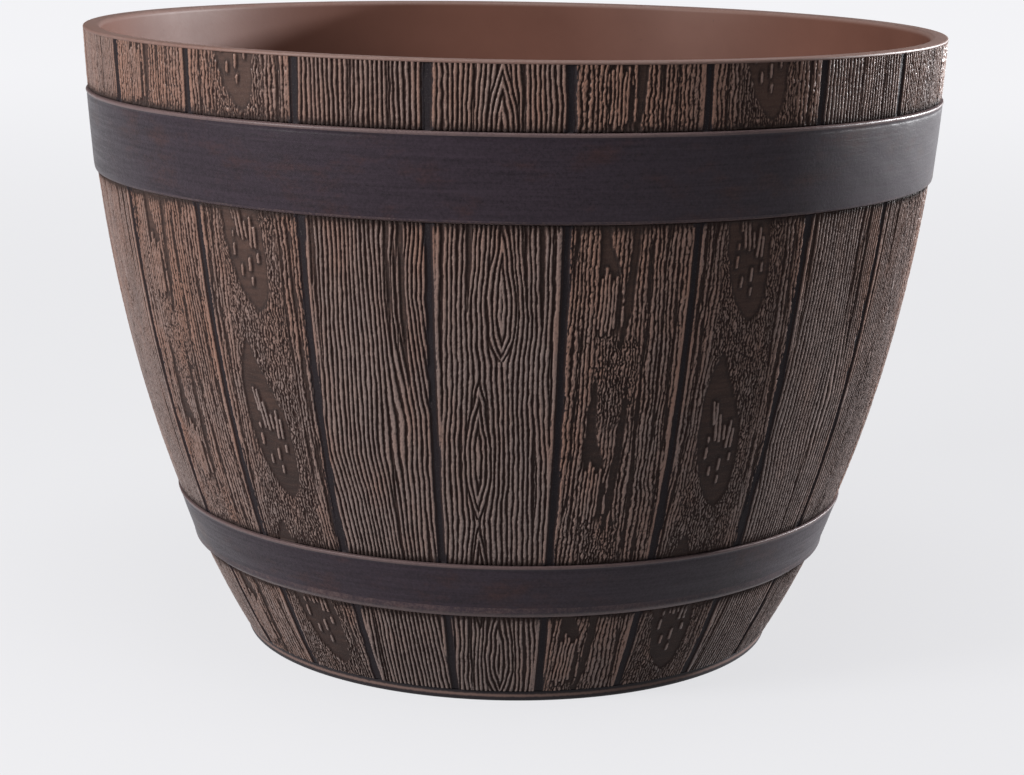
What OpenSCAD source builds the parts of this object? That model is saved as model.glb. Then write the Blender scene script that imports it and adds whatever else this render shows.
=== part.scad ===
// Half-barrel planter in wood-effect plastic: one moulded tub with a rim, stave grooves, a floor
// and a foot, two bands seated round it, and push-in plugs in the drain holes of its floor.
// Millimetres, +Z up. The origin is on the ground, on the tub's axis. The front faces -Y.

/* [Tub] */
// Outer diameter across the rim
rim_d = 390; // [340:1:450]
// Height from the ground to the top of the rim
height = 281; // [250:1:320]
// Outer diameter at which the curve of the wall meets the ground
base_d = 244; // [210:1:280]
// Height above the rim at which the curve of the wall would stand upright
crest_rise = 34; // [15:1:80]
// Depth below the ground at which the curve of the wall would lie level
toe_drop = 102; // [70:1:160]
// Thickness of the plastic behind the carving
wall = 3; // [2:0.1:5]

/* [Rim] */
// Width of the flat top of the rim
lip_w = 8; // [6:0.5:11]
// Height of the smooth band round the outside of the rim
lip_band = 1.3; // [1.2:0.1:6]
// Rounding of the rim's outer edge
lip_round = 1; // [0.5:0.1:1.2]
// Rounding of the rim's inner edge
mouth_round = 2.4; // [1:0.1:3.5]

/* [Staves] */
// Number of staves round the tub
stave_count = 22; // [16:1:28]
// Turn of one groove from the front, towards the right
stave_turn = 6.4; // [-8:0.1:8]
// Width of the groove between two staves
groove_w = 3.2; // [2:0.1:5]
// Depth of the grooves and of the carved grain
relief = 1; // [0.6:0.1:1.5]

/* [Carving] */
// Height after which the carving of the coarse and the knotted staves repeats
carve_repeat = 82; // [76:1:100]
// Height of the lowest tip of the coarse staves' tongue of grain
coarse_tip = 26; // [20:0.5:34]
// Height of the lowest tip of the knotted staves' smooth tongue
knot_tip = 10.5; // [8:0.5:20]
// Width of the sunk line round a pointed ring in the grain
ring_line = 0.9; // [0.6:0.1:1.5]

/* [Bands] */
// Height of the rim above the upper band
upper_drop = 27.5; // [18:0.5:45]
// Height of the upper band
upper_h = 36; // [26:0.5:42]
// Height of the lower band's lower edge above the ground
lower_z = 44.8; // [30:0.5:80]
// Height of the lower band
lower_h = 25.5; // [18:0.5:36]
// How far a band stands out from the staves at its upper edge
band_proud = 0.6; // [0.3:0.1:1.5]
// How much further the upper band stands out at its lower edge
upper_flare = 0.5; // [0:0.1:1.5]
// How much further the lower band stands out above its bevel
lower_flare = 1; // [0:0.1:2]
// Height of the bevel under the upper band's face
upper_bevel = 1; // [0.8:0.1:3]
// Height of the bevel under the lower band's face
lower_bevel = 5; // [2:0.1:8]
// Clearance between a band and the seat in the wall
band_gap = 0.2; // [0.1:0.05:0.3]

/* [Base] */
// Thickness of the floor
floor_t = 3.5; // [2.5:0.1:6]
// Height of the floor's underside above the ground
floor_lift = 4; // [3:0.1:4]
// Rounding between the floor and the wall inside
floor_round = 10; // [4:0.5:16]
// Height of the smooth foot round the bottom of the wall
foot_h = 4.6; // [3.5:0.1:8]
// Width of the ring on which the tub stands, with its rounded edge
foot_w = 8; // [6:0.5:14]
// Rounding of the foot's lower edge
foot_round = 2; // [1:0.1:2.5]
// Height of the neck between the foot and the staves
neck_h = 0.7; // [0.4:0.1:2]
// Depth of that neck behind the grooves
neck_depth = 0.7; // [0.3:0.1:1.2]

/* [Drain plugs] */
// Diameter of a drain hole
hole_d = 14; // [10:0.5:20]
// Diameter of the circle on which the outer drain holes lie
hole_ring_d = 140; // [90:1:180]
// Clearance between a plug and the hole, all round
plug_gap = 0.2; // [0.1:0.05:0.4]
// Diameter of a plug's head
head_d = 24; // [22:0.5:32]
// Thickness of a plug's head
head_t = 2; // [1.5:0.1:4]
// Length of the plug below the floor's underside
plug_reach = 2.6; // [1:0.1:2.8]
// Taper at the end of the plug
plug_taper = 1; // [0.4:0.1:1.5]
// Wall of the plug's hollow end
plug_wall = 1.8; // [1.2:0.1:3]
// Diameter of the round grip on a plug's head
grip_d = 13; // [9:0.5:18]
// Thickness of that grip
grip_t = 2.6; // [2:0.1:4]

/* [Hidden] */
$fn = 96;
// Cones that follow the curve of the wall, how much they shorten downwards, and points in a rounded corner
WALL_STEPS = 12;
STEP_GROWTH = 1.3;
CORNER_STEPS = 4;
// How far a cutting shape passes the surface that it cuts
PAST = 3;
// Outer drain holes round the one in the middle
RING_HOLES = 4;
// Kinds of stave, which of them has rings, and times that the carving of two of them repeats upwards
KINDS = 4;
RINGED = 3;
REPEATS = 4;

rim_r = rim_d / 2;
base_r = base_d / 2;
mouth_r = rim_r - lip_w;
floor_top = floor_lift + floor_t;
relief_low = foot_h + neck_h;
relief_high = height - lip_band;
upper_z = height - upper_drop - upper_h;
foot_r = wall_r(foot_h / 2);
plug_d = hole_d - 2 * plug_gap;
plug_spots = concat([[0, 0]],
    [for (i = [0:RING_HOLES - 1]) hole_ring_d / 2 * [cos(90 * i + 45), sin(90 * i + 45)]]);

// The wall is part of an ellipse that stands upright crest_rise above the rim and lies level
// toe_drop below the ground. This is the ellipse's reach at a height, from 0 to 1.
function ellipse_reach(z) = sqrt(1 - pow((height + crest_rise - z) / (height + crest_rise + toe_drop), 2));

// Outer radius of the staves at a height
function wall_r(z) =
    rim_r - (rim_r - base_r) * (ellipse_reach(height) - ellipse_reach(z))
        / (ellipse_reach(height) - ellipse_reach(0));

// Radius at the bottom of the grooves
function seat_r(z) = wall_r(z) - relief;

// Inner radius: parallel to the wall below, and upright from the mouth down, so a mould lets go
function inner_r(z) = min(mouth_r, seat_r(z) - wall);

// Heights from low to high, in steps that are shorter below, where the wall curves more
function heights(low, high, steps) = [for (i = [0:steps]) low + (high - low) * pow(i / steps, STEP_GROWTH)];

// A list from its end to its start
function reversed(list) = [for (i = [len(list) - 1:-1:0]) list[i]];

// A corner rounded from one point to another
function round_corner(start, corner, end) =
    [for (i = [0:CORNER_STEPS]) let(t = i / CORNER_STEPS)
        (1 - t) * (1 - t) * start + 2 * t * (1 - t) * corner + t * t * end];

// Outline of the tub, from the middle of the floor's top round to the middle of its underside
function shell_outline() = concat(
    [[0, floor_top]],
    round_corner([inner_r(floor_top) - floor_round, floor_top], [inner_r(floor_top), floor_top],
        [inner_r(floor_top + floor_round), floor_top + floor_round]),
    [for (z = heights(floor_top + floor_round, height - mouth_round, WALL_STEPS)) [inner_r(z), z]],
    round_corner([mouth_r, height - mouth_round], [mouth_r, height], [mouth_r + mouth_round, height]),
    round_corner([rim_r - lip_round, height], [rim_r, height],
        [wall_r(height - lip_round), height - lip_round]),
    reversed([for (z = heights(relief_low, height - lip_round, WALL_STEPS)) [wall_r(z), z]]),
    [[seat_r(relief_low) - neck_depth, relief_low], [seat_r(foot_h) - neck_depth, foot_h]],
    round_corner([seat_r(foot_h) - neck_depth, foot_h], [foot_r, foot_h], [foot_r, foot_h / 2]),
    round_corner([foot_r, min(foot_h / 2, foot_round)], [foot_r, 0], [foot_r - foot_round, 0]),
    [[foot_r - foot_w, 0], [foot_r - foot_w, floor_lift], [0, floor_lift]]);

// A long flat with pointed ends, in the carving of a stave. Carving is given across the stave from its
// middle and up from the ground.
function leaf(at, low, high, width) =
    let(shoulder = (high - low) / 3)
    [[at, low], [at + width / 2, low + shoulder], [at + width / 2, high - shoulder], [at, high],
        [at - width / 2, high - shoulder], [at - width / 2, low + shoulder]];

// Outlines moved up to each tip of a repeated form
function repeated(outline, tip) =
    [for (i = [0:REPEATS - 1]) [for (p = outline) [p.x, p.y + tip + i * carve_repeat]]];

// Flats of the coarse staves: a channel, and one on each side of a tongue of grain that narrows downwards
function coarse_flats() = concat(
    [leaf(7.9, 74, 214, 2)],
    repeated([[-12.8, 9], [-4.6, 9], [-9.6, 27], [-9.6, 38], [-11.2, 45], [-13.3, 30]], coarse_tip),
    repeated([[-2, -24], [-1, -20], [1.6, 0], [3, 30], [1.8, 45], [0.2, 28], [-1.7, 0], [-2.6, -20]], coarse_tip));

// Flats of the knotted staves: a channel, and a smooth tongue with its round tip below
function knotted_flats() = concat(
    [leaf(20.4, 74, 214, 2)],
    repeated([[2.5, 0], [6.8, 5], [8.5, 14], [8.3, 30], [1.4, 50], [-7.8, 71], [-13.4, 52], [-13.4, 40], [-9.6, 18],
        [-2.5, 4]], knot_tip));

// Flats of the straight staves, between their ridges
function straight_flats() =
    [leaf(-21.6, 150, 262, 1.4), leaf(9.6, 160, 240, 1.5), leaf(15.4, 146, 244, 2.3), leaf(-3, 250, 310, 1.1),
        leaf(5.5, 58, 124, 1.1), leaf(-12.6, -20, 62, 1.1)];

// Flats of the ringed staves, between their ridges
function ringed_flats() =
    [leaf(-11.2, 182, 234, 2), leaf(11.2, 186, 248, 1.5), leaf(17.6, 174, 230, 1.8), leaf(15, 84, 136, 1.3)];

// Pointed rings in the middle of the ringed staves
function rings() =
    [leaf(1.9, 161.5, 228, 11.5), leaf(-7, 91, 154, 10), leaf(1.2, 0.5, 62, 12), leaf(1.6, 229, 284, 12.4)];

// A layer of the wall's outside, from the bottom of the grooves to past the staves
module carving_layer() {
    rotate_extrude()
        polygon(concat(
            [for (z = heights(relief_low, relief_high, WALL_STEPS)) [seat_r(z), z]],
            reversed([for (z = heights(relief_low, relief_high, WALL_STEPS)) [wall_r(z) + PAST, z]])));
}

// Upright slots between the staves, each from the middle of the wall's lean outwards
module groove_slots() {
    start = base_r / 2;
    for (i = [0:stave_count - 1])
        rotate(stave_turn - 90 + i * 360 / stave_count)
            translate([start, -groove_w / 2, relief_low])
                cube([rim_r + PAST - start, groove_w, relief_high - relief_low]);
}

// A flat shape on the face of a stave, pushed through the wall's outside
module on_stave(i) {
    start = base_r / 2;
    rotate(stave_turn - 90 + (i + 0.5) * 360 / stave_count)
        translate([start, 0, 0])
            rotate([90, 0, 90])
                linear_extrude(rim_r + PAST - start)
                    children();
}

// The flats and rings of all staves. The kinds follow each other both ways from the front.
module carved_flats() {
    for (i = [0:stave_count - 1]) {
        kind = (i < stave_count / 2 ? i : i - stave_count + KINDS * stave_count) % KINDS;
        for (flat = [coarse_flats(), knotted_flats(), straight_flats(), ringed_flats()][kind])
            on_stave(i) polygon(flat);
        if (kind == RINGED)
            for (ring = rings())
                on_stave(i)
                    difference() {
                        polygon(ring);
                        polygon([ring[0] + [0, 4 * ring_line], ring[1] - [ring_line, 0], ring[2] - [ring_line, 0],
                            ring[3] - [0, 4 * ring_line], ring[4] + [ring_line, 0], ring[5] + [ring_line, 0]]);
                    }
    }
}

// The height that a band takes up
module band_slab(low, high) {
    translate([0, 0, low]) cylinder(h = high - low, r = rim_r + 2 * PAST);
}

module planter_shell() {
    color("#5a4038")
        difference() {
            rotate_extrude() polygon(shell_outline());
            intersection() {
                carving_layer();
                union() {
                    groove_slots();
                    carved_flats();
                    band_slab(lower_z, lower_z + lower_h + band_gap);
                    band_slab(upper_z, upper_z + upper_h + band_gap);
                }
            }
            for (spot = plug_spots)
                translate([spot.x, spot.y, floor_lift - PAST])
                    cylinder(h = floor_t + 2 * PAST, d = hole_d);
        }
}

// A band: a closed ring in its seat, whose face leans out to the bevel above its lower edge
module hoop(low, tall, flare, bevel) {
    high = low + tall;
    edge = band_proud * 0.8;
    function face_r(z) = wall_r(z) + band_proud + flare * (high - z) / (tall - bevel);
    color("#3a3438")
        rotate_extrude()
            polygon(concat(
                [for (z = heights(low, high, 6)) [seat_r(z) + band_gap, z]],
                round_corner([face_r(high) - edge, high], [face_r(high), high],
                    [face_r(high - edge), high - edge]),
                reversed([for (z = heights(low + bevel, high - edge, 6)) [face_r(z), z]]),
                [[wall_r(low), low]]));
}

module upper_hoop() {
    hoop(upper_z, upper_h, upper_flare, upper_bevel);
}

module lower_hoop() {
    hoop(lower_z, lower_h, lower_flare, lower_bevel);
}

// A plug: a hollow stem in its hole, a head on the floor, and a round grip to pull it by
module drain_plug(spot) {
    plug_low = floor_lift - plug_reach;
    color("#2c2624")
        translate([spot.x, spot.y, 0])
            difference() {
                union() {
                    translate([0, 0, plug_low])
                        cylinder(h = plug_taper, d1 = plug_d - 2 * plug_taper, d2 = plug_d);
                    translate([0, 0, plug_low + plug_taper])
                        cylinder(h = floor_top - plug_low - plug_taper, d = plug_d);
                    translate([0, 0, floor_top]) cylinder(h = head_t, d = head_d);
                    intersection() {
                        translate([0, grip_t / 2, floor_top + head_t])
                            rotate([90, 0, 0]) cylinder(h = grip_t, d = grip_d);
                        translate([0, 0, floor_top + head_t / 2]) cylinder(h = grip_d, d = head_d);
                    }
                }
                translate([0, 0, plug_low - PAST])
                    cylinder(h = floor_top - plug_low + PAST - plug_wall, d = plug_d - 2 * plug_wall);
            }
}

module drain_plug_1() { drain_plug(plug_spots[0]); }
module drain_plug_2() { drain_plug(plug_spots[1]); }
module drain_plug_3() { drain_plug(plug_spots[2]); }
module drain_plug_4() { drain_plug(plug_spots[3]); }
module drain_plug_5() { drain_plug(plug_spots[4]); }

planter_shell();
upper_hoop();
lower_hoop();
drain_plug_1();
drain_plug_2();
drain_plug_3();
drain_plug_4();
drain_plug_5();
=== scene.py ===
"""Half-barrel planter in carved wood-effect plastic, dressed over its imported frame.

The tub is one moulding. Its carved wall is made here as one closed panel for each stave, so that the
grain is real relief, and the smooth rest of the moulding is turned as one piece behind the panels.
Millimetres are used in the maths and metres in the meshes. +Z is up and the front faces -Y.
"""

import math
from functools import cache, partial
from types import SimpleNamespace

import bmesh
import bpy
import numpy as np
from bpy.props import FloatProperty, FloatVectorProperty, IntProperty
from mathutils import Matrix, Vector


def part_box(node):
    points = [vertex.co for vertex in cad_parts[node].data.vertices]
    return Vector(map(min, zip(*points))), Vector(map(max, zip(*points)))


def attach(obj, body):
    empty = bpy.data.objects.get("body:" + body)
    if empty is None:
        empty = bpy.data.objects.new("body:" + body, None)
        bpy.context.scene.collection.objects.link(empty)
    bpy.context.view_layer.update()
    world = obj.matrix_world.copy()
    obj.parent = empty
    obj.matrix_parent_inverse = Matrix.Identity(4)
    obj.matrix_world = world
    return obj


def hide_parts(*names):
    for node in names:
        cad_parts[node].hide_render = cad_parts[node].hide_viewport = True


bl_info = {
    "name": "Half-barrel planter",
    "version": (1, 0, 0),
    "blender": (4, 5, 0),
    "location": "View3D > Sidebar > Planter",
    "description": "Dresses the frame of a half-barrel planter in carved, painted plastic",
    "category": "Add Mesh",
}

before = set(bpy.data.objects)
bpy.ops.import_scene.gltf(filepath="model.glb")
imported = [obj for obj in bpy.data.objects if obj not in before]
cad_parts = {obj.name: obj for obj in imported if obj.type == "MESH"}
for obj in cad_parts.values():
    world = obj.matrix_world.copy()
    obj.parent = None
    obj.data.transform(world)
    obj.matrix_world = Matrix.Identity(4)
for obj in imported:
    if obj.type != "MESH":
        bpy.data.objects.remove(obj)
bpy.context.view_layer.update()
MM = 0.001
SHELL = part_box("planter_shell")
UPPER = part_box("upper_hoop")
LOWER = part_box("lower_hoop")
PLUGS = [f"drain_plug_{i}" for i in range(1, 6)]

# Parts into which a full turn is divided
TUB_SEGMENTS = 352
BAND_SEGMENTS = 704
PLUG_SEGMENTS = 72
HOLE_SEGMENTS = 48
# Points in the arc of a plug's grip
GRIP_POINTS = 33
# Angles in degrees above which an edge looks sharp
TUB_CREASE = 42
BAND_CREASE = 50
PLUG_CREASE = 35
# Chamfer at both ends of a drain hole, in mm
HOLE_CHAMFER = 0.4


# Sizes and colours that a user would change


def length(name, description, mm):
    """A length property, given in millimetres."""
    return FloatProperty(
        name=name, description=description, default=mm * MM, subtype="DISTANCE", precision=5
    )


def paint(name, description, red, green, blue):
    """A colour property, given as it looks on a screen, from 0 to 255."""
    linear = [((c / 255 + 0.055) / 1.055) ** 2.4 for c in (red, green, blue)]
    return FloatVectorProperty(
        name=name, description=description, default=linear, subtype="COLOR", min=0.0, max=1.0, size=3
    )


class PlanterTub(bpy.types.PropertyGroup):
    """Sizes of the moulded tub."""

    rim_radius: length("Rim radius", "Outer radius of the rim", SHELL[1][0] / MM)
    height: length("Height", "Height of the rim above the ground", SHELL[1][2] / MM)
    base_radius: length("Base radius", "Radius at which the curve of the wall meets the ground", 122)
    crest_rise: length("Crest rise", "Height above the rim at which the wall's curve is upright", 34)
    toe_drop: length("Toe drop", "Depth below the ground at which the wall's curve is level", 102)
    wall: length("Wall", "Thickness of the plastic behind the carving", 3)
    skin: length("Skin", "Part of that thickness that is made with the carved panels", 1.2)
    lip_width: length("Lip width", "Width of the rim's flat top with its rounded edges", 8)
    lip_band: length("Lip band", "Height of the smooth band round the rim", 1.3)
    lip_round: length("Lip rounding", "Rounding of the rim's outer edge", 1)
    mouth_round: length("Mouth rounding", "Rounding of the rim's inner edge", 2.4)
    floor_thick: length("Floor thickness", "Thickness of the floor", 3.5)
    floor_lift: length("Floor lift", "Height of the floor's underside above the ground", 4)
    floor_round: length("Floor rounding", "Rounding between the floor and the wall", 10)
    foot_height: length("Foot height", "Height of the smooth foot", 4.6)
    foot_width: length("Foot width", "Width of the ring on which the tub stands", 8)
    foot_round: length("Foot rounding", "Rounding of the foot's lower edge", 2)
    neck_height: length("Neck height", "Height of the neck between the foot and the staves", 0.7)
    neck_depth: length("Neck depth", "Depth of the neck behind the grooves", 0.7)
    hole_radius: length("Hole radius", "Radius of a drain hole", 7)


class PlanterStaves(bpy.types.PropertyGroup):
    """Sizes of the carving."""

    count: IntProperty(name="Staves", description="Number of staves round the tub", default=22, min=8)
    turn: FloatProperty(
        name="Turn",
        description="Turn of the first groove from the front, towards the right",
        default=math.radians(6.4),
        subtype="ANGLE",
    )
    relief: length("Relief", "Height of the ridges above the grooves", 1)
    groove: length("Groove", "Width of the groove between two staves", 3.2)
    step_across: length("Step across", "Spacing of the carving's points round the rim", 0.4)
    step_up: length("Step up", "Spacing of the carving's points up the wall", 0.75)


class PlanterBands(bpy.types.PropertyGroup):
    """Sizes of the two bands."""

    proud: length("Proud", "How far a band stands out at its upper edge", 0.6)
    upper_flare: length("Upper flare", "How much further the upper band stands out at its lower edge", 0.5)
    lower_flare: length("Lower flare", "How much further the lower band stands out above its bevel", 1)
    upper_bevel: length("Upper bevel", "Height of the bevel under the upper band's face", 1)
    lower_bevel: length("Lower bevel", "Height of the bevel under the lower band's face", 5)
    gap: length("Gap", "Clearance between a band and its seat", 0.2)
    roll: length("Roll", "How far the rolled upper edge swells", 0.28)
    wave: length("Wave", "How far the edges wander", 0.22)


class PlanterPlugs(bpy.types.PropertyGroup):
    """Sizes of the drain plugs."""

    head_radius: length("Head radius", "Radius of a plug's head", 12)
    head_thick: length("Head thickness", "Thickness of a plug's head", 2)
    gap: length("Gap", "Clearance between a plug and its hole", 0.2)
    stem_wall: length("Stem wall", "Wall of the hollow stem", 1.8)
    taper: length("Taper", "Taper at the end of the stem", 1)
    grip_thick: length("Grip thickness", "Thickness of the grip", 2.6)


class PlanterPaint(bpy.types.PropertyGroup):
    """Colours of the finishes."""

    # Also the painted highlight along the foot's bead
    ridge: paint("Ridge", "Rubbed tops of the ridges", 138, 120, 115)
    copper: paint("Copper", "Ridge tops where the stain is thin", 142, 106, 91)
    # Also painted shade in the hollows between the ridges
    valley: paint("Valley", "Dark stain between the ridges", 47, 31, 28)
    # Also the foot's dark stain and painted shade round its bead
    ground: paint("Ground", "Grooves between the staves", 36, 31, 35)
    flat: paint("Flat", "Flats in the grain", 88, 67, 60)
    brown: paint("Brown", "Smooth plastic of the rim, inside and foot", 111, 76, 65)
    band: paint("Band", "Satin paint of the bands", 54, 44, 53)
    band_edge: paint("Band edge", "Rubbed edges of the bands", 116, 97, 96)
    rubber: paint("Rubber", "Drain plugs", 44, 38, 36)
    floor: paint("Floor", "Studio floor", 252, 252, 255)


def values_of(name):
    """The values of one of the scene's property groups, with its lengths in millimetres."""
    group = getattr(bpy.context.scene, f"planter_{name}")
    values = {}
    for key in group.__annotations__:
        value = getattr(group, key)
        is_length = group.bl_rna.properties[key].subtype == "DISTANCE"
        values[key] = value / MM if is_length else value
    return SimpleNamespace(**values)


# Shape of the tub


def ellipse_reach(tub, z):
    """Reach of the wall's ellipse at a height, from 0 to 1."""
    top = tub.height + tub.crest_rise
    return np.sqrt(1 - ((top - z) / (top + tub.toe_drop)) ** 2)


def wall_radius(tub, z):
    """Outer radius of the staves' ridges at a height."""
    low, high = ellipse_reach(tub, 0.0), ellipse_reach(tub, tub.height)
    drop = (high - ellipse_reach(tub, z)) / (high - low)
    return tub.rim_radius - (tub.rim_radius - tub.base_radius) * drop


def inner_radius(tub, z, relief):
    """Inner radius of the tub: parallel to the wall, and upright from the mouth down."""
    return np.minimum(tub.rim_radius - tub.lip_width, wall_radius(tub, z) - relief - tub.wall)


def traced(radius, start, end, count):
    """Points of an outline whose radius is known at each height, from one height to another."""
    return [(radius(z), z) for z in np.linspace(start, end, count)]


def rounded(start, corner, end, steps=6):
    """Points of a corner rounded from start to end."""
    start, corner, end = np.array([start, corner, end], float)
    t = np.linspace(0, 1, steps + 1)[:, None]
    return [tuple(point) for point in (1 - t) ** 2 * start + 2 * t * (1 - t) * corner + t * t * end]


# Random patterns, the same in each run


def blend(x):
    """Smooth step from 0 to 1 as x goes from 0 to 1."""
    t = np.clip(x, 0, 1)
    return t * t * (3 - 2 * t)


def lattice(seed):
    """A table of random numbers, the same for each seed."""
    return np.random.default_rng(seed).random((256, 256))


def cloud(u, z, wide, tall, seed):
    """Smooth random values from -1 to 1, in patches about wide by tall."""
    table = lattice(seed)
    x, y = u / wide + 300, z / tall + 300
    i, j = np.floor(x).astype(int), np.floor(y).astype(int)
    s, t = blend(x - i), blend(y - j)
    i, j = i % 256, j % 256
    i2, j2 = (i + 1) % 256, (j + 1) % 256
    low = table[i, j] * (1 - s) + table[i2, j] * s
    high = table[i, j2] * (1 - s) + table[i2, j2] * s
    return 2 * (low * (1 - t) + high * t) - 1


def clouded(value, u, z, *clouds):
    """A value with clouds added to it, each given as its amount, width, height and seed."""
    for amount, *shape in clouds:
        value = value + amount * cloud(u, z, *shape)
    return value


def cells(u, z, wide, tall, seed):
    """Distances to the nearest and second nearest of points scattered about wide by tall apart."""
    across, up = (0.12 + 0.76 * lattice(part) for part in (seed, seed + 1))
    x, y = u / wide + 300, z / tall + 300
    i, j = np.floor(x).astype(int), np.floor(y).astype(int)
    first = np.full(np.shape(x), 9.0)
    second = np.full(np.shape(x), 9.0)
    for di in (-1, 0, 1):
        for dj in (-1, 0, 1):
            ci, cj = i + di, j + dj
            px = ci + across[ci % 256, cj % 256]
            py = cj + up[ci % 256, cj % 256]
            away = (x - px) ** 2 + (y - py) ** 2
            second = np.minimum(second, np.maximum(first, away))
            first = np.minimum(first, away)
    return np.sqrt(first), np.sqrt(second)


def grains(u, z, wide, tall, seed):
    """Rounded grains: 1 in a grain's middle, 0 where two grains meet."""
    first, second = cells(u, z, wide, tall, seed)
    return np.clip((second - first) * 1.9, 0, 1)


def pits(u, z, wide, tall, seed, size):
    """Small sunk spots: 1 in a pit, 0 between the pits."""
    first, _ = cells(u, z, wide, tall, seed)
    return blend((size - first) / 0.24 + 0.5)


# Carving of the four kinds of stave. Each takes places across the stave and up the wall, in mm of
# real surface, and gives the height of the carving from 0, the ground, to 1, a ridge's top.

# Height after which the carving of the coarse and the knotted staves repeats
REPEAT = 82.0
# Spacing of the ridges
STRAIGHT_PITCH = 2.06
CATHEDRAL_PITCH = 2.15
RING_PITCH = 1.85 / 0.93
BEADED_PITCH = 1.8
WORM_PITCH = 1.35
# Width over which the edge of a flat rises
FLAT_EDGE = 0.6


def ridges(phase, share, soft=0.42):
    """Ridges, one for each unit of phase, that take up the given share of it."""
    off = 2 * np.abs(phase - np.floor(phase) - 0.5)
    return blend((share - off) / soft + 0.5) * (1 - 0.32 * np.minimum(off / share, 1.2) ** 2)


def beaded(u, z, seed, share, swing):
    """A ridge's share of its pitch, which swells and narrows like a string of beads."""
    return clouded(share, u, z, (swing, 1.3, 1.25, seed), (0.08, 4, 20, seed + 3))


def pitted_skin(u, z, seed, depth):
    """The finely pitted skin of the ridges."""
    return 1 - depth * pits(u, z, 1.05, 1.15, seed, 0.26) - 0.07 * (1 + cloud(u, z, 0.6, 0.6, seed + 7))


def opened(u, z, lenses):
    """Flat lenses between the ridges. Gives the places with the ridges pushed aside, and the lenses."""
    shift = np.zeros_like(u)
    flat = np.zeros_like(u)
    for at, low, high, width in lenses:
        along = np.clip((z - low) / (high - low), 0, 1)
        half = width / 2 * np.minimum(1, 3 * np.minimum(along, 1 - along))
        off = u - at
        past = np.abs(off) - half
        pushed = np.sign(off) * half * np.exp(-np.maximum(past, 0) / 6)
        shift = shift + np.where(past < 0, off, pushed)
        flat = np.maximum(flat, blend(-past / 0.25 + 0.5) * (half > 0))
    return u - shift, flat


def stroke(u, z, at, low, high, width, lean):
    """A raised stroke with round ends."""
    half = width / 2
    off = np.hypot(u - at - lean * (z - low), z - np.clip(z, low + half, high - half))
    return blend((half + 0.16 * cloud(u, z, 1.2, 1.4, 95) - off) / 0.55 + 0.6)


def with_strokes(carved, u, z, tip, strokes):
    """Strokes at each repeat, with heights counted from its tip, each in a dark outline."""
    places = []
    for repeat in (-1, 0, 1, 2):
        start = tip + repeat * REPEAT
        places += [(at, start + low, start + high, width, lean) for at, low, high, width, lean in strokes]
    for at, low, high, width, lean in places:
        carved = carved * (1 - stroke(u, z, at, low - 0.5, high + 0.5, width + 1.0, lean))
    for place in places:
        carved = np.maximum(carved, stroke(u, z, *place))
    return carved


def channel(u, z, at, width, low, high, seed):
    """An upright dark channel with lobed edges."""
    line = np.full_like(u, at)
    ends = blend((z - low) / 9) * blend((high - z) / 9)
    half = width / 2 * (0.75 + 0.5 * cloud(line, z, 1, 10, seed)) * ends
    half = half + 0.22 * cloud(u, z, 1.6, 1.8, seed + 1) * ends
    way = line + 0.8 * cloud(line, z, 1, 22, seed + 2)
    return blend((half - np.abs(u - way)) / 0.4 + 0.5) * (ends > 0)


def sunk(carved, u, z, flats, channels):
    """The carving with its flats and channels sunk to the ground."""
    return carved * (1 - np.maximum.reduce([*flats, *(channel(u, z, *place) for place in channels)]))


def between(u, left, right, soft):
    """1 between two edges, with soft borders."""
    return blend((u - left) / soft + 0.5) * blend((right - u) / soft + 0.5)


def beaded_ridges(u, z, seed):
    """Ridges like strings of fused beads, cracked here and there."""
    x = clouded(u, u, z, (0.32, 1.3, 1.7, seed), (0.5, 4, 10, seed + 1))
    share = clouded(0.74, u, z, (0.17, 1.3, 1.5, seed + 2), (0.1, 3, 18, seed + 3))
    cracks = 1 - blend(grains(u, z, 1.35, 2.3, seed + 4) / 0.22)
    return ridges(x / BEADED_PITCH, share, 0.34) * (1 - 0.5 * cracks)


def worm_field(u, z, seed):
    """A field of short, winding ridges with small pits."""
    x = clouded(u, u, z, (0.8, 1.9, 2.4, seed), (0.3, 0.9, 1.2, seed + 1))
    share = clouded(0.66, u, z, (0.2, 1.0, 1.3, seed + 2))
    holes = pits(clouded(u, u, z, (0.3, 1.6, 2, seed + 3)), z, 1.25, 1.6, seed + 4, 0.24)
    return ridges(x / WORM_PITCH, share, 0.5) * (1 - 0.7 * holes)


STRAIGHT_LENSES = (
    (-21.6, 150, 262, 1.4),
    (9.6, 160, 240, 1.5),
    (15.4, 146, 244, 2.3),
    (12.7, 158, 226, 0.8),
    (-3.0, 250, 310, 1.1),
    (5.5, 58, 124, 1.1),
    (17.5, 20, 96, 1.0),
    (-12.6, -20, 62, 1.1),
    (13.0, 236, 310, 0.9),
)


def straight_grain(u, z):
    """Even ridges that lean to the right lower down and bow at the right-hand side."""
    lean = np.interp(z, [5, 45, 75, 100, 118, 145, 215, 281], [2.5, 3.2, 4.2, 1.6, -1.4, -0.6, 0, 0.3])
    bends = [5, 75, 118, 137, 150, 166, 187, 200, 215, 240]
    bow = np.interp(z, bends, [-0.5, 0, 2, 3, 2, 0.6, -1.8, -1.2, 0.6, 0])
    x, flat = opened(clouded(u, u, z, (0.25, 2.5, 6, 15)), z, STRAIGHT_LENSES)
    x = x - lean * np.clip((20 - u) / 34, 0.25, 1) - bow * blend((u - 4) / 12)
    x = clouded(x, u, z, (0.8, 13, 42, 11), (0.3, 5, 16, 12))
    carved = ridges(x / STRAIGHT_PITCH, beaded(u, z, 13, 0.69, 0.14)) * pitted_skin(u, z, 14, 0.18)
    return carved * (1 - flat)


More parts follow.
